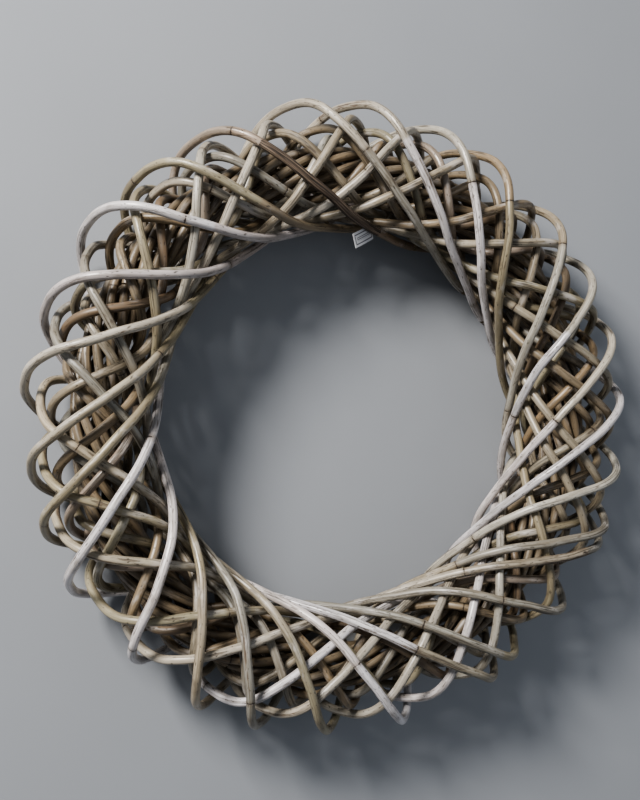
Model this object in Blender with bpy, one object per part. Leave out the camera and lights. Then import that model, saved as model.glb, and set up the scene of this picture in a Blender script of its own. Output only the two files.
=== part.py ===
"""Ring wreath of rattan: four layers of round cane, each wound against the one below, over nine twisted hoops.

It lies on its back: +Z is up, the ring's axis is upright, and the lowest canes rest on z = 0.
Angles round the ring are counted anticlockwise from +X, seen from above.
Angles round the tube are counted from its outer edge, over the front (+Z) face, to the hole and the back.
"""

import math
import random

import bpy
import numpy as np

# Driving dimensions, in metres
OUTER_DIAMETER = 0.500
HOLE_DIAMETER = 0.295
THICKNESS = 0.096
CANE_DIAMETER = 0.0068
LAYER_GAP = 0.0008  # air between one layer and the next, where two canes cross
END_GAP = 0.003  # between the butted ends of two canes of a layer
PRESSED = 0.0015  # how much the lowest canes are flattened where the wreath rests
SWELL = 0.0045  # how far the loosest outer loop stands out beyond the tightest at the rim
SEED = 7

CANE_RADIUS = CANE_DIAMETER / 2
LAYER_PITCH = CANE_DIAMETER + LAYER_GAP
RIM_DIAMETER = OUTER_DIAMETER - 2 * SWELL  # over the tightest outer loop
TUBE_RADIUS = (RIM_DIAMETER + HOLE_DIAMETER) / 4  # from the ring's axis to the middle of the tube
HALF_WIDTH = (RIM_DIAMETER - HOLE_DIAMETER) / 4 - CANE_RADIUS
HALF_HEIGHT = THICKNESS / 2 - CANE_RADIUS
MID_HEIGHT = HALF_HEIGHT + CANE_RADIUS - PRESSED
AXIS = (0.0016, -0.0013, 0)  # of the ring: off the outline's middle, as its loops stand out unevenly

# How boxy the tube's section is: 2 is an ellipse, more has fuller corners
RIM_FULLNESS = 2.5
HOLE_FULLNESS = 2.3

# Places round the tube, in degrees
BACK = -90
SHOULDER = 45
HOLE_EDGE = 180
JOIN_START = 190
JOIN_LENGTH = 150
CUT = 216

# The canes that show: (angle round the ring of the bend at the outer shoulder,
# extra turn by the hole edge), in degrees, in the direction in which the layer is wound,
# and for the outer ones how loosely each stands out at the rim, from 0 to 1
OUTER_STRANDS = (
    (154.5, -3, 0.5), (139, -4, 1), (127, -4, 0.25), (114.5, 1, 0), (96.5, 5, 1), (84.5, 4, 1),
    (69.5, 0, 0), (58.5, -2, 0), (41, -2, 0), (28, -7, 0.25), (15, 1, 0), (2, 3, 0),
    (-12.5, -4, 0.25), (-24, -1, 1), (-28, 2, 1), (-43, -4, 1), (-56.5, 1, 0), (-63, 7, 1),
    (-83, -2, 0.75), (-98, -3, 0.5), (-112, -4, 1), (-123.5, -2, 1), (-138, -5, 0.25), (-155.5, 1, 0.75),
    (-166.5, 1, 0.5), (-177, 2, 0.25), (-192, -2, 1),
)
SECOND_STRANDS = (
    (110, 9), (123, 3), (139, 1), (154, 1), (167.5, -1), (182, -1), (192.5, -4), (204, -2), (219, 2),
    (230.5, 4), (248, 0), (257.5, 2), (274.5, 2), (288, 4), (299, 1), (318, 0), (333.5, 1), (344, -1),
    (359.5, 0), (368.5, 6), (383.5, 1), (399, -1), (410, -1), (426, 2), (440, 0), (453, 0),
)

# Sides of the faceted canes, and how far a face lies from the cane's centreline
OUTER_SIDES = 6
OUTER_FLAT = 0.0033
INNER_SIDES = 4
INNER_FLAT = 0.0030
HOOP_SIDES = 4
HOOP_FLAT = 0.0031
FLATS = {OUTER_SIDES: OUTER_FLAT, INNER_SIDES: INNER_FLAT}
END_ROOM = 0.3  # clear of a cane's end, as a share of the step between rings of vertices

# Core hoops, side by side in an oval round the middle of the tube, twisted like the strands of a rope
HOOPS = 9
HOOPS_HALF_WIDTH = 0.0142
HOOPS_HALF_HEIGHT = 0.0138
HOOP_TWISTS = 5  # turns of the oval in one lap of the ring
HOOP_STEPS = 40

# Paper tag in the weave at the top of the hole, held against one outer strand
TAG_LENGTH = 0.030
TAG_WIDTH = 0.0115
TAG_THICKNESS = 0.0004
TAG_STRAND = 3
TAG_PLACE = 168  # degrees round the tube
TAG_OUT = 0.0075  # from the strand's centreline into the hole
TAG_TURN = 32  # degrees from the strand's direction
TAG_GAP = 0.0003


class Layer:
    """One layer of winding: hand 1 advances clockwise from rim over front to hole, -1 anticlockwise."""

    def __init__(self, name, depth, hand, reach, strands, shift, canes, rings, sides, colour):
        self.name = name
        self.depth = depth * LAYER_PITCH
        self.hand = hand
        self.reach = reach  # how near the ring's axis the straight run over the face would pass
        self.strands = strands
        self.shift = shift  # strands advanced by one turn round the tube
        self.canes = canes  # canes in each closed chain of turns
        self.rings = rings  # rings of vertices in a turn
        self.sides = sides
        self.colour = colour

    def strand(self, index):
        """Shoulder angle, counted on without wrapping, and lean of a strand, in radians."""
        laps, place = divmod(index, len(self.strands))
        angle, lean = self.strands[place][:2]
        return math.radians(angle - self.hand * 360 * laps), math.radians(lean)

    def stand_out(self, index):
        """How far a strand stands out at the rim."""
        looseness = self.strands[index % len(self.strands)][2:]
        return SWELL * sum(looseness)


def spread_strands(count, hand, most_off, seed):
    """Evenly spaced strands with a little seeded unevenness."""
    draw = random.Random(seed)
    step = -hand * 360 / count
    return tuple((k * step + draw.uniform(-most_off, most_off), draw.uniform(-2, 2)) for k in range(count))


def layers():
    """The layers from the outside in."""
    third = spread_strands(31, 1, 3, SEED)
    fourth = spread_strands(29, -1, 3, SEED + 1)
    return (
        Layer("outer_cane", 0, 1, 0.121, OUTER_STRANDS, 6, 2, 17, OUTER_SIDES, (0.52, 0.47, 0.40)),
        Layer("second_cane", 1, -1, 0.131, SECOND_STRANDS, 5, 5, 13, OUTER_SIDES, (0.42, 0.36, 0.27)),
        Layer("third_cane", 2, 1, 0.120, third, 4, 3, 12, INNER_SIDES, (0.34, 0.27, 0.18)),
        Layer("fourth_cane", 3, -1, 0.125, fourth, 3, 3, 10, INNER_SIDES, (0.26, 0.20, 0.13)),
    )


def ease(x):
    """0 below 0, 1 above 1, and smooth between."""
    x = np.clip(x, 0, 1)
    return x * x * (3 - 2 * x)


def section(phi, depth):
    """Distance from the ring's axis, height over mid-plane, and outward normal of a layer's centreline."""
    wide = HALF_WIDTH - depth
    high = HALF_HEIGHT - depth
    c = np.cos(phi)
    s = np.sin(phi)
    full = np.where(c > 0, RIM_FULLNESS, HOLE_FULLNESS)
    out = np.sign(c) * np.abs(c) ** (2 / full)
    up = np.sign(s) * np.abs(s) ** (2 / full)
    normal_out = np.sign(out) * np.abs(out) ** (full - 1) / wide
    normal_up = np.sign(up) * np.abs(up) ** (full - 1) / high
    length = np.hypot(normal_out, normal_up)
    return TUBE_RADIUS + wide * out, high * up, normal_out / length, normal_up / length


def turned(phi, layer):
    """Turn round the ring of a cane laid straight round the tube, from the back to each angle phi."""
    fine = np.radians(np.linspace(BACK, BACK + 360, 721))
    radius, height, _, _ = section(fine, layer.depth)
    steps = np.hypot(np.diff(radius), np.diff(height))
    middle = (radius[1:] + radius[:-1]) / 2
    slope = layer.reach / np.sqrt(middle**2 - layer.reach**2)
    total = np.concatenate([[0], np.cumsum(slope * steps / middle)])
    return np.interp(phi, fine, total)


def joint_turn(layer, index):
    """Turn to be taken up on the back between this strand's end and the start of the next in its chain."""
    ends = np.radians([BACK + 360, SHOULDER, BACK])
    at_end, at_shoulder, at_start = turned(ends, layer)
    angle, lean = layer.strand(index)
    following, _ = layer.strand(index + layer.shift)
    end = angle - layer.hand * (at_end - at_shoulder + lean)
    start = following - layer.hand * (at_start - at_shoulder)
    return start - end


def strand_route(layer, index, phi):
    """Points and outward normals of one turn of cane at angles phi round the tube."""
    angle, lean = layer.strand(index)
    degrees = np.degrees(phi)
    advance = turned(phi, layer) - turned(np.radians(SHOULDER), layer)
    advance = advance + lean * ease((degrees - SHOULDER) / (HOLE_EDGE - SHOULDER))
    theta = angle - layer.hand * advance
    theta = theta + joint_turn(layer, index) * ease((degrees - JOIN_START) / JOIN_LENGTH)
    before = joint_turn(layer, index - layer.shift)
    theta = theta - before * (1 - ease((degrees + 360 - JOIN_START) / JOIN_LENGTH))
    radius, height, out, up = section(phi, layer.depth)
    lift = layer.stand_out(index) * np.maximum(np.cos(phi), 0) ** 2
    radius = radius + lift * out
    height = height + lift * up + MID_HEIGHT
    points = np.stack([radius * np.cos(theta), radius * np.sin(theta), height], 1)
    normals = np.stack([out * np.cos(theta), out * np.sin(theta), up], 1)
    return points, normals


def cane_route(layer, first, turns):
    """Route of one cane that starts and ends at the cut on the back, beginning after strand first."""
    cut = (CUT - BACK) / 360
    gap = END_GAP / 2 / (2 * math.pi * (HALF_WIDTH - layer.depth))
    inside = (np.arange(layer.rings * (turns + 2)) + 0.5) / layer.rings
    start = cut + gap
    end = cut + turns - gap
    spare = END_ROOM / layer.rings
    inside = inside[(inside > start + spare) & (inside < end - spare)]
    steps = np.concatenate([[start], inside, [end]])
    points = []
    normals = []
    for turn in range(turns + 1):
        here = steps[(steps >= turn) & (steps < turn + 1)]
        phi = np.radians(BACK + 360 * (here - turn))
        p, n = strand_route(layer, first + layer.shift * turn, phi)
        points.append(p)
        normals.append(n)
    return np.concatenate(points), np.concatenate(normals)


def directions(points, normals, closed=False):
    """Unit tangent, outward and sideways directions at each point of a route."""
    if closed:
        tangent = np.roll(points, -1, 0) - np.roll(points, 1, 0)
    else:
        tangent = np.gradient(points, axis=0)
    tangent /= np.linalg.norm(tangent, axis=1, keepdims=True)
    outward = normals - (normals * tangent).sum(1, keepdims=True) * tangent
    outward /= np.linalg.norm(outward, axis=1, keepdims=True)
    return tangent, outward, np.cross(tangent, outward)


def add_mesh(name, verts, faces, material):
    mesh = bpy.data.meshes.new(name)
    mesh.from_pydata((verts + np.array(AXIS)).tolist(), [], faces)
    mesh.materials.append(material)
    mesh.update()
    bpy.context.scene.collection.objects.link(bpy.data.objects.new(name, mesh))
    return mesh


def tube(name, points, normals, sides, flat, material, closed=False):
    """Faceted cane along a route, one face turned outwards and one inwards, its underside pressed to z = 0."""
    _, outward, sideways = directions(points, normals, closed)
    corner = flat / math.cos(math.pi / sides)
    count = len(points)
    verts = []
    for k in range(sides):
        angle = math.pi / sides + 2 * math.pi * k / sides
        ring = points + corner * (math.cos(angle) * outward + math.sin(angle) * sideways)
        verts.append(ring)
    verts = np.stack(verts, 1).reshape(-1, 3)
    verts[:, 2] = np.maximum(verts[:, 2], 0)
    faces = []
    for i in range(count if closed else count - 1):
        for k in range(sides):
            a = i * sides + k
            b = i * sides + (k + 1) % sides
            c = (i + 1) % count * sides + (k + 1) % sides
            d = (i + 1) % count * sides + k
            faces.append((a, b, c, d))
    if not closed:
        faces.append(tuple(range(sides - 1, -1, -1)))
        faces.append(tuple(range((count - 1) * sides, count * sides)))
    mesh = add_mesh(name, verts, faces, material)
    mesh.shade_smooth()
    mesh.set_sharp_from_angle(angle=math.radians(65))


def principled(name, colour, roughness):
    material = bpy.data.materials.new(name)
    material.use_nodes = True
    shader = material.node_tree.nodes["Principled BSDF"]
    shader.inputs["Base Color"].default_value = (*colour, 1)
    shader.inputs["Roughness"].default_value = roughness
    shader.inputs["Metallic"].default_value = 0
    return material


def make_layer(layer):
    """The canes of one layer. Its turns fall into closed chains, each shared out between a few canes."""
    material = principled(layer.name, layer.colour, 0.45)
    flat = FLATS[layer.sides]
    count = len(layer.strands)
    chains = math.gcd(count, layer.shift)
    number = 0
    for chain in range(chains):
        turns_left = count // chains
        strand = chain
        for canes_left in range(layer.canes, 0, -1):
            turns = math.ceil(turns_left / canes_left)
            number += 1
            points, normals = cane_route(layer, strand, turns)
            tube(f"{layer.name}_{number}", points, normals, layer.sides, flat, material)
            strand += turns * layer.shift
            turns_left -= turns


def make_hoops():
    """Canes bent into closed hoops, which the layers are wound on."""
    material = principled("core_hoop", (0.20, 0.15, 0.10), 0.5)
    theta = np.arange(HOOP_STEPS) * 2 * math.pi / HOOP_STEPS
    for k in range(HOOPS):
        angle = 2 * math.pi * k / HOOPS + HOOP_TWISTS * theta
        out = np.cos(angle)
        up = np.sin(angle)
        radius = TUBE_RADIUS + HOOPS_HALF_WIDTH * out
        height = MID_HEIGHT + HOOPS_HALF_HEIGHT * up
        points = np.stack([radius * np.cos(theta), radius * np.sin(theta), height], 1)
        normals = np.stack([out * np.cos(theta), out * np.sin(theta), up], 1)
        tube(f"core_hoop_{k + 1}", points, normals, HOOP_SIDES, HOOP_FLAT, material, closed=True)


def make_tag(layer):
    """Blank card against the back of one outer strand, with a corner standing out into the hole."""
    phi = np.radians([TAG_PLACE - 1, TAG_PLACE, TAG_PLACE + 1])
    points, normals = strand_route(layer, TAG_STRAND, phi)
    tangent, outward, sideways = (d[1] for d in directions(points, normals))
    turn = math.radians(TAG_TURN)
    along = math.cos(turn) * tangent - math.sin(turn) * outward
    across = math.sin(turn) * tangent + math.cos(turn) * outward
    away = OUTER_FLAT / math.cos(math.pi / OUTER_SIDES) + TAG_GAP + TAG_THICKNESS / 2
    middle = points[1] + away * sideways + TAG_OUT * outward
    verts = []
    for z in (-1, 1):
        for x, y in ((-1, -1), (1, -1), (1, 1), (-1, 1)):
            offset = x * TAG_LENGTH * along + y * TAG_WIDTH * across + z * TAG_THICKNESS * sideways
            verts.append(middle + offset / 2)
    faces = [(0, 3, 2, 1), (4, 5, 6, 7), (0, 1, 5, 4), (1, 2, 6, 5), (2, 3, 7, 6), (3, 0, 4, 7)]
    add_mesh("paper_tag", np.array(verts), faces, principled("paper_tag", (0.80, 0.80, 0.80), 0.7))


def main():
    for obj in list(bpy.data.objects):
        bpy.data.objects.remove(obj)
    wound = layers()
    for layer in wound:
        make_layer(layer)
    make_hoops()
    make_tag(wound[0])


main()
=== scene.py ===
"""Looks of the cane wreath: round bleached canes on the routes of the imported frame, and a card tag.

The wreath lies on its back on a pale floor. +Z is up, towards the camera, and the ring's axis is upright.
Angles round the ring are counted anticlockwise from +X, seen from above.
Angles round the tube are counted from its outer edge, over the front (+Z) face, to the hole and the back.
"""

import math
import random

import bpy
import numpy as np
from mathutils import Matrix, Vector


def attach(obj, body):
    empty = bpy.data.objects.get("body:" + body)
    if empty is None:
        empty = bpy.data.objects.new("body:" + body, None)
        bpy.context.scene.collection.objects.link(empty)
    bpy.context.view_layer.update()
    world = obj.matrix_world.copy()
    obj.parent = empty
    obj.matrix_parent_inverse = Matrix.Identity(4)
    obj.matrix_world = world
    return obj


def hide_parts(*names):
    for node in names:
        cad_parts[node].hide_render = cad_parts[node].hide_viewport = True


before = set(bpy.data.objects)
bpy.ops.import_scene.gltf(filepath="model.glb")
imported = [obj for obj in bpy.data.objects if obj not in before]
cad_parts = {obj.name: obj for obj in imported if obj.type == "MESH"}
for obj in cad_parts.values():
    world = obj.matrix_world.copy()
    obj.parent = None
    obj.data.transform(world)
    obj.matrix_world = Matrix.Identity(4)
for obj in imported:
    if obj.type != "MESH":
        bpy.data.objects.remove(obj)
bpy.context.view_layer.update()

# Sizes of the frame, in metres
OUTER_DIAMETER = 0.500
HOLE_DIAMETER = 0.295
THICKNESS = 0.096
CANE_DIAMETER = 0.0068
LAYER_GAP = 0.0008  # air between one layer and the next, where two canes cross
END_GAP = 0.003  # between the butted ends of two canes of a layer
PRESSED = 0.0015  # how much the frame's lowest canes are flattened
SWELL = 0.0045  # how far the loosest outer loop stands out beyond the tightest at the rim
SEED = 7

CANE_RADIUS = CANE_DIAMETER / 2
LAYER_PITCH = CANE_DIAMETER + LAYER_GAP
RIM_DIAMETER = OUTER_DIAMETER - 2 * SWELL
TUBE_RADIUS = (RIM_DIAMETER + HOLE_DIAMETER) / 4
HALF_WIDTH = (RIM_DIAMETER - HOLE_DIAMETER) / 4 - CANE_RADIUS
HALF_HEIGHT = THICKNESS / 2 - CANE_RADIUS
MID_HEIGHT = HALF_HEIGHT + CANE_RADIUS - PRESSED
AXIS = np.array((0.0016, -0.0013, 0))  # of the ring: its loops stand out unevenly

# How boxy the tube's section is: 2 is an ellipse, more has fuller corners
RIM_FULLNESS = 2.5
HOLE_FULLNESS = 2.3

# Places round the tube, in degrees
BACK = -90
SHOULDER = 45
HOLE_EDGE = 180
JOIN_START = 190
JOIN_LENGTH = 150
CUT = 216

# The canes that show: (angle round the ring of the bend at the outer shoulder,
# extra turn by the hole edge), in degrees, in the direction in which the layer is wound,
# and for the outer ones how loosely each stands out at the rim, from 0 to 1
OUTER_STRANDS = (
    (154.5, -3, 0.5), (139, -4, 1), (127, -4, 0.25), (114.5, 1, 0), (96.5, 5, 1), (84.5, 4, 1),
    (69.5, 0, 0), (58.5, -2, 0), (41, -2, 0), (28, -7, 0.25), (15, 1, 0), (2, 3, 0),
    (-12.5, -4, 0.25), (-24, -1, 1), (-28, 2, 1), (-43, -4, 1), (-56.5, 1, 0), (-63, 7, 1),
    (-83, -2, 0.75), (-98, -3, 0.5), (-112, -4, 1), (-123.5, -2, 1), (-138, -5, 0.25), (-155.5, 1, 0.75),
    (-166.5, 1, 0.5), (-177, 2, 0.25), (-192, -2, 1),
)
SECOND_STRANDS = (
    (110, 9), (123, 3), (139, 1), (154, 1), (167.5, -1), (182, -1), (192.5, -4), (204, -2), (219, 2),
    (230.5, 4), (248, 0), (257.5, 2), (274.5, 2), (288, 4), (299, 1), (318, 0), (333.5, 1), (344, -1),
    (359.5, 0), (368.5, 6), (383.5, 1), (399, -1), (410, -1), (426, 2), (440, 0), (453, 0),
)

# Core hoops, side by side in an oval round the middle of the tube, twisted like the strands of a rope
HOOPS = 9
HOOPS_HALF_WIDTH = 0.0142
HOOPS_HALF_HEIGHT = 0.0138
HOOP_TWISTS = 5  # turns of the oval in one lap of the ring
HOOP_END = 0.002  # half the gap between a hoop's butted ends, in radians round the ring

# Card tag, held against one outer strand
TAG_LENGTH = 0.030
TAG_WIDTH = 0.0115
TAG_THICKNESS = 0.0004
TAG_STRAND = 3
TAG_PLACE = 168  # degrees round the tube
TAG_OUT = 0.0075  # from the strand's centreline into the hole
TAG_TURN = 32  # degrees from the strand's direction
TAG_GAP = 0.0003
CORNER = 0.0033 / math.cos(math.pi / 6)  # of the frame's six-sided cane, from its centreline
TAG_AWAY = CORNER + TAG_GAP + TAG_THICKNESS / 2
TAG_CURL = 0.0009
TAG_COLUMNS = 17
TAG_ROWS = 9

# Skins of the canes: linear colour, how far peeled and how glossy, both from 0 to 1
SKINS = {
    "white": ((0.74, 0.70, 0.70), 0.0, 0.9),
    "rosy": ((0.56, 0.495, 0.47), 0.0, 0.85),
    "pale": ((0.52, 0.475, 0.395), 0.0, 0.8),
    "beige": ((0.41, 0.355, 0.265), 0.0, 0.7),
    "khaki": ((0.33, 0.29, 0.195), 0.0, 0.7),
    "grey": ((0.34, 0.325, 0.28), 0.0, 0.6),
    "tan": ((0.33, 0.255, 0.165), 0.0, 0.6),
    "honey": ((0.35, 0.25, 0.145), 0.0, 0.6),
    "rosytan": ((0.37, 0.295, 0.235), 0.0, 0.9),
    "brown": ((0.21, 0.145, 0.09), 0.25, 0.4),
    "worn": ((0.41, 0.355, 0.275), 0.47, 0.5),
    "peeled": ((0.24, 0.165, 0.11), 1.0, 0.3),
}

# Skin of each outer strand, as (place round the tube from which it holds, skin)
OUTER_SKINS = (
    ((BACK, "rosy"),),
    ((BACK, "white"), (105, "rosy")),
    ((BACK, "khaki"), (110, "tan")),
    ((BACK, "rosytan"), (68, "peeled"), (178, "brown")),
    ((BACK, "pale"), (84, "grey")),
    ((BACK, "pale"), (70, "white")),
    ((BACK, "pale"), (84, "white")),
    ((BACK, "tan"), (78, "khaki")),
    ((BACK, "beige"), (63, "pale")),
    ((BACK, "pale"), (100, "white")),
    ((BACK, "pale"), (126, "white")),
    ((BACK, "white"),),
    ((BACK, "pale"),),
    ((BACK, "grey"), (169, "beige")),
    ((BACK, "grey"), (60, "worn"), (152, "pale")),
    ((BACK, "grey"),),
    ((BACK, "khaki"), (60, "grey")),
    ((BACK, "beige"), (106, "white")),
    ((BACK, "white"),),
    ((BACK, "khaki"), (120, "beige")),
    ((BACK, "grey"),),
    ((BACK, "beige"), (130, "khaki")),
    ((BACK, "white"),),
    ((BACK, "white"),),
    ((BACK, "khaki"), (150, "grey")),
    ((BACK, "beige"), (138, "khaki")),
    ((BACK, "pale"), (150, "khaki")),
)
SECOND_SKINS = (
    "pale", "pale", "khaki", "grey", "grey", "beige", "khaki", "beige", "khaki",
    "pale", "white", "pale", "pale", "white", "pale", "khaki", "beige", "beige",
    "tan", "beige", "khaki", "beige", "tan", "beige", "pale", "beige",
)
THIRD_SKINS = (
    "beige", "tan", "khaki", "rosytan", "tan", "beige", "brown", "khaki", "honey", "pale", "grey",
)
FOURTH_SKINS = ("tan", "grey", "khaki", "rosytan", "brown", "tan", "beige")

CORE_SKINS = ("tan",)
# Painted shade: share by which each layer's skin is darkened towards near black, more the deeper the layer
# lies, for the shade inside the weave
PAINTED_DEPTH_SHADE = {"outer_cane": 0.0, "second_cane": 0.02, "third_cane": 0.08, "fourth_cane": 0.20, "core_hoop": 0.36}
SHADE = (0.82, 1.10)  # range of the shade of the skin from one ring to the next
WARMTH = 0.035
MOST_WEAR = 0.42  # the most that a stretch between two rings is peeled where its skin isn't

# Rings where leaves grew, as (strand, place round the tube), on the canes that show them plainly
OUTER_RINGS = (
    (3, 38), (4, 84), (6, 84), (7, 78), (8, 63), (9, 179), (10, 126), (12, 177), (13, 169), (14, 152),
    (14, -22), (17, 106), (18, 102), (20, 58), (23, 139), (25, 138), (26, 180),
)
SECOND_RINGS = ((21, 40), (12, 150), (5, 70), (8, 120), (17, 60), (24, 100))
RING_SPACING = (0.20, 0.36)  # metres along a cane, where no ring is listed
RING_CLEAR = 0.13  # from a ring that is
RING_SWELL = 0.055  # of the cane's radius
RING_STEPS = (0.0004, 0.0009, 0.0018, 0.0034)
REST_DEPTH = 0.0004  # by which the lowest canes are flattened here
REST_EASE = 0.0006

# How far the canes are from straight, round and even
OUTER_BEND = 0.0009
INNER_BEND = 0.0005
UNEVENNESS = 0.00035
GIRTH = (0.93, 1.01)  # range of a cane's mean thickness, as a share of its diameter
TAPER = 0.035
TAPER_LENGTH = 0.31

# Fineness of the canes
FINE = 240  # points in a turn of a route
OUTER_STEP = 0.0024
INNER_STEP = 0.0034
OUTER_SIDES = 20
INNER_SIDES = 12


class Wire:
    """A socket of a node tree. Arithmetic on it adds Math nodes to the tree."""

    def __init__(self, plan, socket):
        self.plan = plan
        self.socket = socket

    def math(self, operation, *others):
        return self.plan.add("ShaderNodeMath", {"operation": operation}, [self, *others])

    def __add__(self, other):
        return self.math("ADD", other)

    def __sub__(self, other):
        return self.math("SUBTRACT", other)

    def __mul__(self, other):
        return self.math("MULTIPLY", other)

    def __rsub__(self, other):
        return self.plan.add("ShaderNodeMath", {"operation": "SUBTRACT"}, [other, self])

    __radd__ = __add__
    __rmul__ = __mul__

    def stretched(self, *factors):
        """The vector times a factor along each axis."""
        return self.plan.add("ShaderNodeVectorMath", {"operation": "MULTIPLY"}, [self, factors])

    def from_to(self, low, high):
        """0 below low, 1 above high, smooth between; the other way round where low is the larger."""
        settings = {"interpolation_type": "SMOOTHSTEP"}
        if low > high:
            return 1 - self.plan.add("ShaderNodeMapRange", settings, [self, high, low, 0.0, 1.0])
        return self.plan.add("ShaderNodeMapRange", settings, [self, low, high, 0.0, 1.0])


class Plan:
    """A node tree and the one way in which nodes are added to it."""

    def __init__(self, tree):
        self.tree = tree

    def add(self, kind, settings=None, inputs=(), output=0):
        node = self.tree.nodes.new(kind)
        for name, value in (settings or {}).items():
            setattr(node, name, value)
        for key, value in inputs.items() if isinstance(inputs, dict) else enumerate(inputs):
            if isinstance(value, Wire):
                self.tree.links.new(value.socket, node.inputs[key])
            else:
                node.inputs[key].default_value = value
        return Wire(self, node.outputs[output]) if len(node.outputs) else None

    def attribute(self, name, output):
        return self.add("ShaderNodeAttribute", {"attribute_name": name}, output=output)

    def noise(self, vector, detail=2.0, roughness=0.5):
        """Noise about one unit across."""
        inputs = {"Vector": vector, "Scale": 1.0, "Detail": detail, "Roughness": roughness}
        return self.add("ShaderNodeTexNoise", None, inputs)

    def blend(self, factor, first, second, kind="MIX"):
        """Mix of two colours."""
        settings = {"data_type": "RGBA", "blend_type": kind}
        return self.add("ShaderNodeMix", settings, {0: factor, 6: first, 7: second}, output=2)


def colour(*rgb):
    return (*rgb, 1.0)


# Materials


def new_material(name):
    material = bpy.data.materials.new(name)
    material.use_nodes = True
    material.node_tree.nodes.clear()
    return material, Plan(material.node_tree)


def cane_material(name, painted_shade):
    """Cane skin with lengthwise grain, smudges, scuffs, specks, cracks, leaf rings and peeled stretches,
    and painted shade that darkens the deeper layers.
    """
    material, plan = new_material(name)
    grain = plan.attribute("grain", "Vector")
    skin = plan.attribute("skin", "Color")
    ring_gap = plan.attribute("ring_gap", "Fac")
    end_gap = plan.attribute("end_gap", "Fac")
    peel = plan.attribute("peel", "Fac")
    gloss = plan.attribute("gloss", "Fac")

    def noise(across, along, detail, roughness=0.5):
        """Noise on the cane's own grain, by its number of grains in a metre across and along the cane."""
        return plan.noise(grain.stretched(across, across, along), detail, roughness)

    fibre = noise(900, 22, 3.0, 0.6)
    streak = noise(380, 9, 3.0, 0.6)
    cloud = noise(80, 32, 4.0, 0.65)
    patch = noise(110, 14, 2.0)
    ragged = noise(700, 160, 2.0)
    split = noise(520, 11, 1.0)
    speck_field = noise(620, 260, 2.0)
    scuff_field = noise(430, 70, 3.0, 0.6)

    stain = 1.35 - gloss
    base = plan.blend(fibre.from_to(0.40, 0.64) * stain * 0.60, skin, colour(0.125, 0.093, 0.06))
    base = plan.blend(streak.from_to(0.48, 0.66) * stain * 0.72, base, colour(0.14, 0.11, 0.072))
    base = plan.blend(cloud.from_to(0.50, 0.70) * stain * 0.80, base, colour(0.15, 0.12, 0.08))
    base = plan.blend(cloud.from_to(0.46, 0.30) * 0.45, base, colour(0.66, 0.63, 0.61))
    smudge = noise(260, 48, 3.0, 0.6).from_to(0.50, 0.64)
    base = plan.blend(smudge * 0.36, base, colour(0.13, 0.11, 0.08))
    scuff = scuff_field.from_to(0.59, 0.67) * patch.from_to(0.38, 0.54)
    base = plan.blend(scuff * 0.70, base, colour(0.085, 0.06, 0.04))
    speck = speck_field.from_to(0.64, 0.69)
    base = plan.blend(speck * 0.68, base, colour(0.03, 0.022, 0.016))
    crack = (split - 0.5).math("ABSOLUTE").from_to(0.034, 0.010) * patch.from_to(0.50, 0.58)
    base = plan.blend(crack * 0.62, base, colour(0.035, 0.025, 0.017))

    bare = (peel + (streak - 0.5) * 1.1 + (ragged - 0.5) * 0.5).from_to(0.52, 0.60)
    wood = plan.blend(fibre.from_to(0.38, 0.60), colour(0.29, 0.215, 0.15), colour(0.085, 0.057, 0.038))
    wood = plan.blend(cloud.from_to(0.44, 0.62) * 0.7, wood, colour(0.06, 0.038, 0.026))
    base = plan.blend(bare * 0.9, base, wood)
    cleft = (streak - 0.5).math("ABSOLUTE").from_to(0.035, 0.012) * bare
    base = plan.blend(cleft * 0.9, base, colour(0.02, 0.014, 0.01))

    edge = ring_gap + (ragged - 0.5) * 0.0016
    scar = edge.from_to(0.00065, 0.00025) * cloud.from_to(0.34, 0.50)
    halo = (edge + (cloud - 0.5) * 0.004).from_to(0.0042, 0.0008)
    base = plan.blend(halo * 0.42, base, colour(0.17, 0.125, 0.08))
    base = plan.blend(scar * 0.9, base, colour(0.035, 0.023, 0.016))

    cut = end_gap.from_to(0.00018, 0.00008)
    pores = noise(2600, 2600, 1.0)
    pith = plan.blend(pores.from_to(0.45, 0.60), colour(0.40, 0.31, 0.19), colour(0.12, 0.08, 0.045))
    base = plan.blend(cut, base, pith)
    # Painted shade: the skin is darkened towards near black by the layer's share, for the shade deep inside
    # the weave
    if painted_shade:
        base = plan.blend(painted_shade, base, colour(0.045, 0.032, 0.020))

    roughness = 0.52 - gloss * 0.30 + fibre * 0.12 + bare * 0.25 + cut * 0.3 + scuff * 0.15 + crack * 0.2
    dents = scar * 1.8 + bare * (0.9 - fibre * 0.9) + scuff * 0.4 + speck * 0.5 + crack * 1.5 + cleft * 1.5
    height = fibre * 0.4 + streak * 0.4 + cut * pores - dents
    bump = plan.add("ShaderNodeBump", None, {"Strength": 1.0, "Distance": 0.00034, "Height": height})
    shader = plan.add(
        "ShaderNodeBsdfPrincipled",
        None,
        {"Base Color": base, "Roughness": roughness, "Normal": bump, "Specular IOR Level": 0.65},
    )
    plan.add("ShaderNodeOutputMaterial", None, [shader])
    return material


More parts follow.
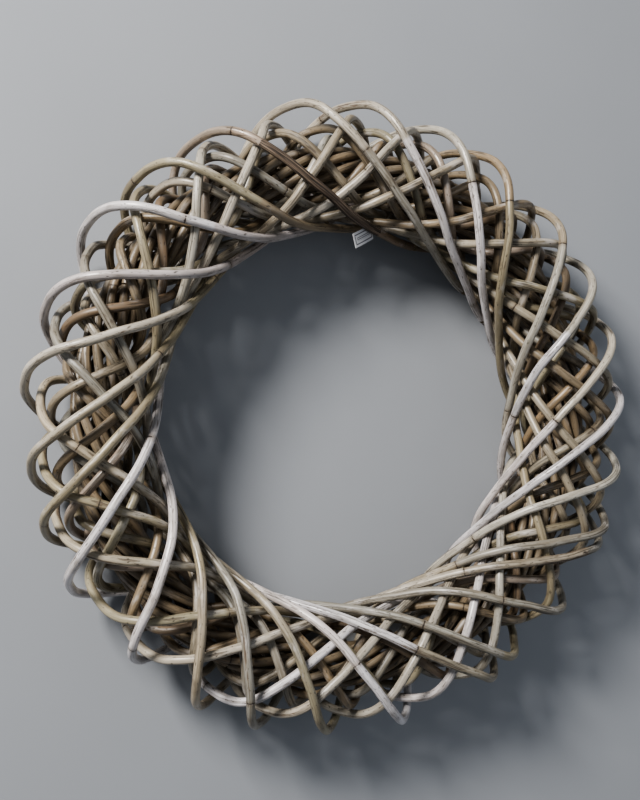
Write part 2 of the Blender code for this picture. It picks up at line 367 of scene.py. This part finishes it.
def card_material():
    """White card with a plain ruled frame."""
    material, plan = new_material("card")
    place = plan.attribute("sheet_place", "Vector")
    across = plan.add("ShaderNodeSeparateXYZ", None, [place], output=0)
    along = plan.add("ShaderNodeSeparateXYZ", None, [place], output=1)
    from_long_edge = along.math("MINIMUM", 1 - along) * (TAG_WIDTH / TAG_LENGTH)
    inset = across.math("MINIMUM", 1 - across).math("MINIMUM", from_long_edge)
    line = inset.from_to(0.055, 0.062) * inset.from_to(0.088, 0.081)
    rules = (along * 9.0).math("FRACT").from_to(0.42, 0.5) * inset.from_to(0.14, 0.15)
    tooth = plan.noise(place.stretched(160, 90, 1), 3.0)
    base = plan.blend(tooth * 0.25, colour(0.80, 0.80, 0.82), colour(0.68, 0.68, 0.70))
    base = plan.blend((line + rules * 0.8).math("MINIMUM", 1.0), base, colour(0.10, 0.10, 0.13))
    bump = plan.add("ShaderNodeBump", None, {"Strength": 1.0, "Distance": 0.00003, "Height": tooth})
    looks = {"Base Color": base, "Roughness": 0.55, "Normal": bump}
    shader = plan.add("ShaderNodeBsdfPrincipled", None, looks)
    plan.add("ShaderNodeOutputMaterial", None, [shader])
    return material


def floor_material():
    material, plan = new_material("pale_floor")
    place = plan.add("ShaderNodeTexCoord", output="Object")
    mottle = plan.noise(place.stretched(9, 9, 9), 3.0)
    base = plan.blend(mottle, colour(0.305, 0.32, 0.345), colour(0.33, 0.345, 0.37))
    shader = plan.add("ShaderNodeBsdfPrincipled", None, {"Base Color": base, "Roughness": 0.8})
    plan.add("ShaderNodeOutputMaterial", None, [shader])
    return material


# Routes, as in the part's source


class Layer:
    """One layer of winding: hand 1 advances clockwise from rim over front to hole, -1 anticlockwise."""

    def __init__(self, name, depth, hand, reach, strands, shift, canes, skins):
        self.name = name
        self.depth = depth * LAYER_PITCH
        self.hand = hand
        self.reach = reach  # how near the ring's axis the straight run over the face would pass
        self.strands = strands
        self.shift = shift  # strands advanced by one turn round the tube
        self.canes = canes  # canes in each closed chain of turns
        self.skins = skins

    def strand(self, index):
        """Shoulder angle, counted on without wrapping, and lean of a strand, in radians."""
        laps, place = divmod(index, len(self.strands))
        angle, lean = self.strands[place][:2]
        return math.radians(angle - self.hand * 360 * laps), math.radians(lean)

    def stand_out(self, index):
        """How far a strand stands out at the rim."""
        looseness = self.strands[index % len(self.strands)][2:]
        return SWELL * sum(looseness)


def spread_strands(count, hand, most_off, seed):
    """Evenly spaced strands with a little seeded unevenness."""
    draw = random.Random(seed)
    step = -hand * 360 / count
    return tuple((k * step + draw.uniform(-most_off, most_off), draw.uniform(-2, 2)) for k in range(count))


def layers():
    """The layers from the outside in."""
    third = spread_strands(31, 1, 3, SEED)
    fourth = spread_strands(29, -1, 3, SEED + 1)
    return (
        Layer("outer_cane", 0, 1, 0.121, OUTER_STRANDS, 6, 2, OUTER_SKINS),
        Layer("second_cane", 1, -1, 0.131, SECOND_STRANDS, 5, 5, SECOND_SKINS),
        Layer("third_cane", 2, 1, 0.120, third, 4, 3, THIRD_SKINS),
        Layer("fourth_cane", 3, -1, 0.125, fourth, 3, 3, FOURTH_SKINS),
    )


def ease(x):
    """0 below 0, 1 above 1, and smooth between."""
    x = np.clip(x, 0, 1)
    return x * x * (3 - 2 * x)


def section(phi, depth):
    """Distance from the ring's axis, height over mid-plane, and outward normal of a layer's centreline."""
    wide = HALF_WIDTH - depth
    high = HALF_HEIGHT - depth
    c = np.cos(phi)
    s = np.sin(phi)
    full = np.where(c > 0, RIM_FULLNESS, HOLE_FULLNESS)
    out = np.sign(c) * np.abs(c) ** (2 / full)
    up = np.sign(s) * np.abs(s) ** (2 / full)
    normal_out = np.sign(out) * np.abs(out) ** (full - 1) / wide
    normal_up = np.sign(up) * np.abs(up) ** (full - 1) / high
    length = np.hypot(normal_out, normal_up)
    return TUBE_RADIUS + wide * out, high * up, normal_out / length, normal_up / length


def turned(phi, layer):
    """Turn round the ring of a cane laid straight round the tube, from the back to each angle phi."""
    fine = np.radians(np.linspace(BACK, BACK + 360, 721))
    radius, height, _, _ = section(fine, layer.depth)
    steps = np.hypot(np.diff(radius), np.diff(height))
    middle = (radius[1:] + radius[:-1]) / 2
    slope = layer.reach / np.sqrt(middle**2 - layer.reach**2)
    total = np.concatenate([[0], np.cumsum(slope * steps / middle)])
    return np.interp(phi, fine, total)


def joint_turn(layer, index):
    """Turn to be taken up on the back between this strand's end and the start of the next in its chain."""
    ends = np.radians([BACK + 360, SHOULDER, BACK])
    at_end, at_shoulder, at_start = turned(ends, layer)
    angle, lean = layer.strand(index)
    following, _ = layer.strand(index + layer.shift)
    end = angle - layer.hand * (at_end - at_shoulder + lean)
    start = following - layer.hand * (at_start - at_shoulder)
    return start - end


def strand_route(layer, index, phi):
    """Points and outward normals of one turn of cane at angles phi round the tube."""
    angle, lean = layer.strand(index)
    degrees = np.degrees(phi)
    advance = turned(phi, layer) - turned(np.radians(SHOULDER), layer)
    advance = advance + lean * ease((degrees - SHOULDER) / (HOLE_EDGE - SHOULDER))
    theta = angle - layer.hand * advance
    theta = theta + joint_turn(layer, index) * ease((degrees - JOIN_START) / JOIN_LENGTH)
    before = joint_turn(layer, index - layer.shift)
    theta = theta - before * (1 - ease((degrees + 360 - JOIN_START) / JOIN_LENGTH))
    radius, height, out, up = section(phi, layer.depth)
    lift = layer.stand_out(index) * np.maximum(np.cos(phi), 0) ** 2
    radius = radius + lift * out
    height = height + lift * up + MID_HEIGHT
    points = np.stack([radius * np.cos(theta), radius * np.sin(theta), height], 1) + AXIS
    normals = np.stack([out * np.cos(theta), out * np.sin(theta), up], 1)
    return points, normals


def directions(points, normals):
    """Unit tangent, outward and sideways directions at each point of a route."""
    tangent = np.gradient(points, axis=0)
    tangent /= np.linalg.norm(tangent, axis=1, keepdims=True)
    outward = normals - (normals * tangent).sum(1, keepdims=True) * tangent
    outward /= np.linalg.norm(outward, axis=1, keepdims=True)
    return tangent, outward, np.cross(tangent, outward)


# Canes


class Cane:
    """Fine route of one cane, and what its skin is like at each point."""

    def __init__(self, name, points, normals, strands, degrees, draw):
        self.name = name
        self.points = points
        self.normals = normals
        self.strands = strands
        self.degrees = degrees
        self.draw = draw

    def measure(self):
        steps = np.linalg.norm(np.diff(self.points, axis=0), axis=1)
        self.along = np.concatenate([[0], np.cumsum(steps)])
        self.length = self.along[-1]


def cane_line(layer, name, first, turns, draw):
    """Route of one cane between its two cut ends on the back, beginning after strand first."""
    cut = (CUT - BACK) / 360
    gap = END_GAP / 2 / (2 * math.pi * (HALF_WIDTH - layer.depth))
    steps = np.linspace(cut + gap, cut + turns - gap, turns * FINE)
    parts = []
    for turn in range(turns + 1):
        here = steps[(steps >= turn) & (steps < turn + 1)]
        degrees = BACK + 360 * (here - turn)
        points, normals = strand_route(layer, first + layer.shift * turn, np.radians(degrees))
        strands = np.full(len(here), (first + layer.shift * turn) % len(layer.strands))
        parts.append((points, normals, strands, degrees))
    points, normals, strands, degrees = (np.concatenate(part) for part in zip(*parts))
    return Cane(name, points, normals, strands, degrees, draw)


def layer_canes(layer):
    """The canes of a layer, with the names and shares of the frame's nodes."""
    count = len(layer.strands)
    chains = math.gcd(count, layer.shift)
    canes = []
    for chain in range(chains):
        turns_left = count // chains
        strand = chain
        for canes_left in range(layer.canes, 0, -1):
            turns = math.ceil(turns_left / canes_left)
            name = f"{layer.name}_{len(canes) + 1}"
            draw = random.Random(f"{name} {SEED}")
            canes.append(cane_line(layer, name, strand, turns, draw))
            strand += turns * layer.shift
            turns_left -= turns
    return canes


def hoop_line(k):
    """Route of one of the hoops round the middle of the tube, with its ends butted."""
    name = f"core_hoop_{k + 1}"
    draw = random.Random(name)
    theta = np.linspace(HOOP_END, 2 * math.pi - HOOP_END, FINE * 2) + draw.uniform(0, 2 * math.pi)
    angle = 2 * math.pi * k / HOOPS + HOOP_TWISTS * theta
    out = np.cos(angle)
    up = np.sin(angle)
    radius = TUBE_RADIUS + HOOPS_HALF_WIDTH * out
    height = MID_HEIGHT + HOOPS_HALF_HEIGHT * up
    points = np.stack([radius * np.cos(theta), radius * np.sin(theta), height], 1) + AXIS
    normals = np.stack([out * np.cos(theta), out * np.sin(theta), up], 1)
    return Cane(name, points, normals, np.zeros(len(theta), int), np.zeros(len(theta)), draw)


def crooked(cane, most):
    """Bends the cane sideways a little, as a grown stem is."""
    _, _, sideways = directions(cane.points, cane.normals)
    offset = np.zeros(len(cane.points))
    for length, share in ((0.19, 0.5), (0.083, 0.3), (0.041, 0.2)):
        phase = cane.draw.uniform(0, 2 * math.pi)
        offset += share * np.sin(2 * math.pi * cane.along / length + phase)
    cane.points = cane.points + most * offset[:, None] * sideways


def rest_on_floor(cane):
    """Lifts the lowest stretches so that their underside only just reaches the floor."""
    over = cane.points[:, 2] - (CANE_RADIUS - REST_DEPTH)
    cane.points[:, 2] += (np.hypot(over, REST_EASE) - over) / 2


def ring_places(cane, by_hand):
    """Distances along the cane of its leaf rings: those listed, and others well clear of them."""
    places = []
    for strand, degrees in by_hand:
        near = np.where((cane.strands == strand) & (np.abs(cane.degrees - degrees) < 1.6))[0]
        if len(near):
            places.append(cane.along[near[len(near) // 2]])
    here = cane.draw.uniform(0.03, 0.2)
    while here < cane.length - 0.01:
        if all(abs(here - place) > RING_CLEAR for place in places):
            places.append(here)
        here += cane.draw.uniform(*RING_SPACING)
    return sorted(places)


def skin_at(layer, strand, degrees):
    """Name of the skin of a strand at a place round the tube."""
    skins = layer.skins[strand % len(layer.skins)]
    if isinstance(skins, str):
        return skins
    name = skins[0][1]
    for start, following in skins:
        if degrees >= start:
            name = following
    return name


def skin_columns(cane, layer, along, rings):
    """Colour, peel and gloss at distances along the cane. Between two rings the shade is even."""
    strands = cane.strands[np.searchsorted(cane.along, along).clip(0, len(cane.along) - 1)]
    degrees = np.interp(along, cane.along, np.unwrap(cane.degrees, period=360))
    degrees = (degrees - BACK) % 360 + BACK
    shades = [cane.draw.uniform(*SHADE) for _ in range(len(rings) + 1)]
    wear = [MOST_WEAR * cane.draw.random() ** 2 for _ in range(len(rings) + 1)]
    warmth = [cane.draw.uniform(-WARMTH, WARMTH) for _ in range(len(rings) + 1)]
    between = np.searchsorted(rings, along)
    rows = []
    for strand, place, stretch in zip(strands, degrees, between):
        rgb, peel, gloss = SKINS[skin_at(layer, strand, place)]
        shade = shades[stretch]
        warm = warmth[stretch]
        peel = max(peel, wear[stretch])
        rows.append((rgb[0] * shade * (1 + warm), rgb[1] * shade, rgb[2] * shade * (1 - warm), peel, gloss))
    return np.array(rows)


def sample_places(cane, rings, step):
    """Distances along the cane of its rings of vertices: even, and closer at a leaf ring or an end."""
    places = list(np.linspace(0, cane.length, int(cane.length / step)))
    for ring in rings:
        places = [p for p in places if abs(p - ring) > RING_STEPS[-1] + step / 3]
        places.append(ring)
        places += [ring + side * gap for gap in RING_STEPS for side in (-1, 1)]
    bevel = [0.0002, 0.0006, cane.length - 0.0006, cane.length - 0.0002]
    places = [p for p in places if 0.0015 < p < cane.length - 0.0015] + bevel + [0.0, cane.length]
    return np.array(sorted(places))


def nearest_gap(places, marks):
    """Distance from each place to the nearest mark."""
    if not len(marks):
        return np.full(len(places), 1.0)
    return np.abs(places[:, None] - np.array(marks)[None, :]).min(1)


def guide_mesh(cane, layer, step, by_hand):
    """The cane's centreline as a chain of edges, with what the tree and the material read at each point."""
    rings = ring_places(cane, by_hand)
    along = sample_places(cane, rings, step)
    points = np.stack([np.interp(along, cane.along, cane.points[:, k]) for k in range(3)], 1)
    mesh = bpy.data.meshes.new(cane.name)
    mesh.from_pydata(points.tolist(), [(i, i + 1) for i in range(len(points) - 1)], [])
    ring_gap = nearest_gap(along, rings)
    end_gap = np.minimum(along, cane.length - along)
    thick = cane.draw.uniform(*GIRTH)
    taper = 1 + TAPER * np.sin(2 * math.pi * along / TAPER_LENGTH + cane.draw.uniform(0, 6))
    girth = thick * taper * (1 + RING_SWELL * np.exp(-((ring_gap / 0.0022) ** 2)))
    girth = girth * np.interp(end_gap, [0, 0.0002, 0.0006], [0.90, 0.97, 1.0])
    looks = skin_columns(cane, layer, along, rings)
    columns = {"girth": girth, "along": along, "ring_gap": ring_gap, "end_gap": end_gap}
    columns.update({"peel": looks[:, 3], "gloss": looks[:, 4]})
    for name, values in columns.items():
        mesh.attributes.new(name, "FLOAT", "POINT").data.foreach_set("value", values.astype(np.float32))
    shades = np.concatenate([looks[:, :3], np.ones((len(along), 1))], 1).astype(np.float32)
    mesh.attributes.new("skin", "FLOAT_COLOR", "POINT").data.foreach_set("color", shades.ravel())
    return mesh


def cane_tree():
    """Tree that sweeps a round section along a guide, roughens it and presses its underside flat."""
    tree = bpy.data.node_groups.new("cane_round_guide", "GeometryNodeTree")
    face = tree.interface
    face.new_socket("Guide", in_out="INPUT", socket_type="NodeSocketGeometry")
    face.new_socket("Cane radius", in_out="INPUT", socket_type="NodeSocketFloat")
    face.new_socket("Sides", in_out="INPUT", socket_type="NodeSocketInt")
    face.new_socket("Unevenness", in_out="INPUT", socket_type="NodeSocketFloat")
    face.new_socket("Finish", in_out="INPUT", socket_type="NodeSocketMaterial")
    face.new_socket("Cane", in_out="OUTPUT", socket_type="NodeSocketGeometry")
    plan = Plan(tree)
    given = tree.nodes.new("NodeGroupInput")
    guide, radius, sides, uneven, finish = (Wire(plan, given.outputs[k]) for k in range(5))

    def named(kind, name):
        return plan.add("GeometryNodeInputNamedAttribute", {"data_type": kind}, {"Name": name})

    def parts(vector, *which):
        return [plan.add("ShaderNodeSeparateXYZ", None, [vector], output=k) for k in which]

    def stored(geometry, name, value):
        settings = {"data_type": "FLOAT_VECTOR", "domain": "POINT"}
        inputs = {"Geometry": geometry, "Name": name, "Value": value}
        return plan.add("GeometryNodeStoreNamedAttribute", settings, inputs)

    curve = plan.add("GeometryNodeMeshToCurve", None, [guide])
    girth = named("FLOAT", "girth")
    curve = plan.add("GeometryNodeSetCurveRadius", None, {"Curve": curve, "Radius": girth})
    round_section = {"Resolution": sides, "Radius": radius}
    circle = plan.add("GeometryNodeCurvePrimitiveCircle", {"mode": "RADIUS"}, round_section)
    circle = stored(circle, "across", plan.add("GeometryNodeInputPosition"))
    sweep = {"Curve": curve, "Profile Curve": circle, "Fill Caps": True}
    cane = plan.add("GeometryNodeCurveToMesh", None, sweep)
    across = parts(named("FLOAT_VECTOR", "across"), 0, 1)
    grain = plan.add("ShaderNodeCombineXYZ", None, [*across, named("FLOAT", "along")])
    cane = stored(cane, "grain", grain)
    rough = plan.noise(named("FLOAT_VECTOR", "grain").stretched(240, 240, 55), 1.0)
    outwards = {0: plan.add("GeometryNodeInputNormal"), "Scale": (rough - 0.5) * uneven}
    push = plan.add("ShaderNodeVectorMath", {"operation": "SCALE"}, outwards)
    cane = plan.add("GeometryNodeSetPosition", None, {"Geometry": cane, "Offset": push})
    spot = parts(plan.add("GeometryNodeInputPosition"), 0, 1, 2)
    pressed = plan.add("ShaderNodeCombineXYZ", None, [spot[0], spot[1], spot[2].math("MAXIMUM", 0.0)])
    cane = plan.add("GeometryNodeSetPosition", None, {"Geometry": cane, "Position": pressed})
    cane = plan.add("GeometryNodeRealizeInstances", None, [cane])
    cane = plan.add("GeometryNodeSetMaterial", None, {"Geometry": cane, "Material": finish})
    sink = tree.nodes.new("NodeGroupOutput")
    tree.links.new(cane.socket, sink.inputs[0])
    return tree


def plain_mesh(obj):
    """Replaces the object's mesh by what its modifiers make, and removes them."""
    depsgraph = bpy.context.evaluated_depsgraph_get()
    finished = obj.evaluated_get(depsgraph)
    keep = {"preserve_all_data_layers": True, "depsgraph": depsgraph}
    made = bpy.data.meshes.new_from_object(finished, **keep)
    obj.modifiers.clear()
    obj.data = made
    made.name = obj.name


def place_piece(obj, node):
    """Hands a finished piece to the frame, in place of its node."""
    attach(obj, "root")
    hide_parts(node)


def make_cane(cane, layer, tree, material, outer, by_hand=()):
    """One round cane, in place of the faceted node of the same name."""
    cane.measure()
    crooked(cane, OUTER_BEND if outer else INNER_BEND)
    rest_on_floor(cane)
    cane.measure()
    guide = guide_mesh(cane, layer, OUTER_STEP if outer else INNER_STEP, by_hand)
    obj = bpy.data.objects.new(f"{cane.name}_round", guide)
    bpy.context.scene.collection.objects.link(obj)
    modifier = obj.modifiers.new("sweep", "NODES")
    modifier.node_group = tree
    values = {
        "Cane radius": CANE_RADIUS,
        "Sides": OUTER_SIDES if outer else INNER_SIDES,
        "Unevenness": UNEVENNESS,
        "Finish": material,
    }
    for item in tree.interface.items_tree:
        if item.in_out == "INPUT" and item.name in values:
            modifier[item.identifier] = values[item.name]
    plain_mesh(obj)
    obj.data.shade_smooth()
    obj.data.set_sharp_from_angle(angle=math.radians(50))
    place_piece(obj, cane.name)
    return obj


def make_canes():
    tree = cane_tree()
    rings = {"outer_cane": OUTER_RINGS, "second_cane": SECOND_RINGS}
    for layer in layers():
        material = cane_material(f"{layer.name}_skin", PAINTED_DEPTH_SHADE[layer.name])
        by_hand = rings.get(layer.name, ())
        for cane in layer_canes(layer):
            make_cane(cane, layer, tree, material, bool(by_hand), by_hand)
    core = Layer("core_hoop", 4, 1, 0.12, ((0, 0),), 1, 1, CORE_SKINS)
    material = cane_material("core_hoop_skin", PAINTED_DEPTH_SHADE["core_hoop"])
    for k in range(HOOPS):
        make_cane(hoop_line(k), core, tree, material, False)


# Tag


def make_tag(layer, material):
    """Thin card with a slight curl, in place of the tag's node."""
    phi = np.radians([TAG_PLACE - 1, TAG_PLACE, TAG_PLACE + 1])
    points, normals = strand_route(layer, TAG_STRAND, phi)
    tangent, outward, sideways = (d[1] for d in directions(points, normals))
    turn = math.radians(TAG_TURN)
    along = math.cos(turn) * tangent - math.sin(turn) * outward
    across = math.sin(turn) * tangent + math.cos(turn) * outward
    middle = points[1] + TAG_AWAY * sideways + TAG_OUT * outward
    verts = []
    places = []
    for j in range(TAG_ROWS):
        for i in range(TAG_COLUMNS):
            x = i / (TAG_COLUMNS - 1)
            y = j / (TAG_ROWS - 1)
            curl = TAG_CURL * abs(2 * x - 1) ** 2 * (0.4 + 0.6 * y)
            flat = (x - 0.5) * TAG_LENGTH * along + (y - 0.5) * TAG_WIDTH * across
            verts.append(middle + flat + curl * sideways)
            places.append((x, y, 0.0))
    faces = []
    for j in range(TAG_ROWS - 1):
        for i in range(TAG_COLUMNS - 1):
            a = j * TAG_COLUMNS + i
            faces.append((a, a + 1, a + TAG_COLUMNS + 1, a + TAG_COLUMNS))
    mesh = bpy.data.meshes.new("paper_tag_card")
    mesh.from_pydata([tuple(v) for v in verts], [], faces)
    flat_places = np.array(places, np.float32).ravel()
    mesh.attributes.new("sheet_place", "FLOAT_VECTOR", "POINT").data.foreach_set("vector", flat_places)
    mesh.materials.append(material)
    obj = bpy.data.objects.new("paper_tag_card", mesh)
    bpy.context.scene.collection.objects.link(obj)
    solid = obj.modifiers.new("card", "SOLIDIFY")
    solid.thickness = TAG_THICKNESS * 0.9
    solid.offset = 0.0
    plain_mesh(obj)
    obj.data.shade_smooth()
    obj.data.set_sharp_from_angle(angle=math.radians(40))
    place_piece(obj, "paper_tag")


# Studio


def make_floor():
    size = 6.0
    mesh = bpy.data.meshes.new("floor")
    corners = [(-size, -size), (size, -size), (size, size), (-size, size)]
    mesh.from_pydata([(x, y, -0.0004) for x, y in corners], [], [(0, 1, 2, 3)])
    mesh.materials.append(floor_material())
    floor = bpy.data.objects.new("floor", mesh)
    bpy.context.scene.collection.objects.link(floor)


def area_light(name, place, target, size, power, tint):
    light = bpy.data.lights.new(name, "AREA")
    light.shape = "DISK"
    light.size = size
    light.energy = power
    light.color = tint
    lamp = bpy.data.objects.new(name, light)
    lamp.location = place
    lamp.rotation_euler = (Vector(place) - Vector(target)).to_track_quat("Z", "Y").to_euler()
    bpy.context.scene.collection.objects.link(lamp)


def make_light():
    area_light("key", (-1.35, 1.2, 1.15), (0, 0, 0.04), 0.6, 79.0, (1.0, 0.97, 0.93))
    area_light("fill", (1.5, -0.2, 1.2), (0, 0, 0.04), 1.4, 4.0, (0.92, 0.95, 1.0))
    world = bpy.data.worlds.new("studio")
    bpy.context.scene.world = world
    world.use_nodes = True
    background = world.node_tree.nodes["Background"]
    background.inputs["Color"].default_value = colour(0.80, 0.86, 0.95)
    background.inputs["Strength"].default_value = 0.21
    bpy.context.scene.view_settings.look = "AgX - Medium High Contrast"


def make_camera():
    """Camera where the photo's was, found from the places of the canes in it."""
    aside = math.radians(18.42)
    above = math.radians(0.82)
    distance = 0.781
    target = Vector((-0.0204, 0.013, 0.0465))
    back = Vector((-math.sin(aside) * math.cos(above), math.sin(above), math.cos(aside) * math.cos(above)))
    right = Vector((0, 1, 0)).cross(back).normalized()
    stand = Matrix((right, back.cross(right), back)).transposed().to_4x4()
    stand.translation = target + back * distance
    camera = bpy.data.cameras.new("camera")
    camera.sensor_width = 36
    camera.lens = 44.6
    camera.clip_start = 0.02
    holder = bpy.data.objects.new("camera", camera)
    holder.matrix_world = stand
    bpy.context.scene.collection.objects.link(holder)
    bpy.context.scene.camera = holder


make_canes()
make_tag(layers()[0], card_material())
make_floor()
make_light()
make_camera()
